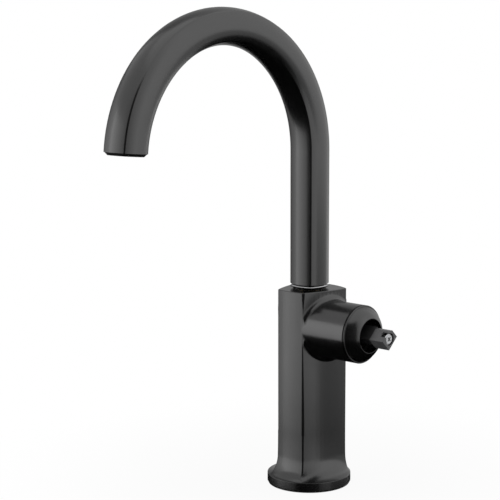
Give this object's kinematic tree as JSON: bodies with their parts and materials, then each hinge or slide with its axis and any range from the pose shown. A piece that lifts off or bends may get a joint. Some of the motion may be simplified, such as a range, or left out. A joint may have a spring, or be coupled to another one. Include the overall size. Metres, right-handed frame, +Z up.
{
  "type": "gooseneck bar faucet",
  "caption": "Single-hole bar faucet: creased flared column, swivelling gooseneck spout and a side valve whose bare stem takes a lever handle.",
  "frame": {"origin": "centre of the sealing face under the foot, where the faucet sits on the deck", "axes": "+Z up through the column, -Y the way the spout reaches, +X along the valve hub towards the handle"},
  "size_m": [0.0949, 0.1945, 0.3095],
  "materials": {
    "satin_black_body": "satin black coating on the cast column",
    "satin_black_spout": "satin black coating on the spout",
    "satin_black_bonnet": "satin black coating on the bonnet",
    "satin_black_ring": "polished black ring",
    "black_stem": "dark zinc",
    "black_aerator": "satin black",
    "rubber": "moulded",
    "nylon": "moulded",
    "ceramic": "lapped alumina ceramic",
    "brass": "machined",
    "steel": "machined"
  },
  "bodies": {
    "faucet_body": {"body_column": "satin_black_body", "deck_gasket": "rubber", "spout_bushing": "nylon", "bonnet": "satin_black_bonnet", "bonnet_oring": "rubber", "cartridge_nut": "brass", "clamp_washer": "nylon", "cartridge_housing": "nylon", "housing_oring": "rubber", "cartridge_base": "nylon", "base_seals": "rubber", "fixed_disc": "ceramic"},
    "spout": {"spout_tube": "satin_black_spout", "swivel_ring": "satin_black_ring", "spout_post": "brass", "post_orings": "rubber", "snap_ring": "steel", "aerator_housing": "black_aerator", "aerator_seal": "rubber", "aerator_screen": "steel", "aerator_insert": "nylon"},
    "rotor": {"stem_carrier": "steel", "stem_pin": "steel"},
    "lever": {"valve_stem": "black_stem", "stem_adapter": "black_stem", "adapter_screw": "steel"},
    "disc": {"disc_carrier": "nylon", "moving_disc": "ceramic"}
  },
  "joints": [
    {"name": "spout_swivel", "type": "hinge", "parent": "faucet_body", "child": "spout", "pos_m": [0, 0, 0.13], "axis": [0, 0, 1], "continuous": true},
    {"name": "temperature_turn", "type": "hinge", "parent": "faucet_body", "child": "rotor", "pos_m": [0.011, 0, 0.1053], "axis": [1, 0, 0], "range_deg": [-45, 45]},
    {"name": "flow_tilt", "type": "hinge", "parent": "rotor", "child": "lever", "pos_m": [0.0295, 0, 0.1053], "axis": [0, 0.7071, 0.7071], "range_deg": [-12.5, 12.5]},
    {"name": "disc_slide", "type": "slide", "parent": "rotor", "child": "disc", "axis": [0, 0.7071, -0.7071], "range_m": [-0.0015, 0.0015]}
  ],
  "couplings": [
    {"joint": "disc_slide", "follows": "flow_tilt", "m_per_rad": -0.0066}
  ]
}
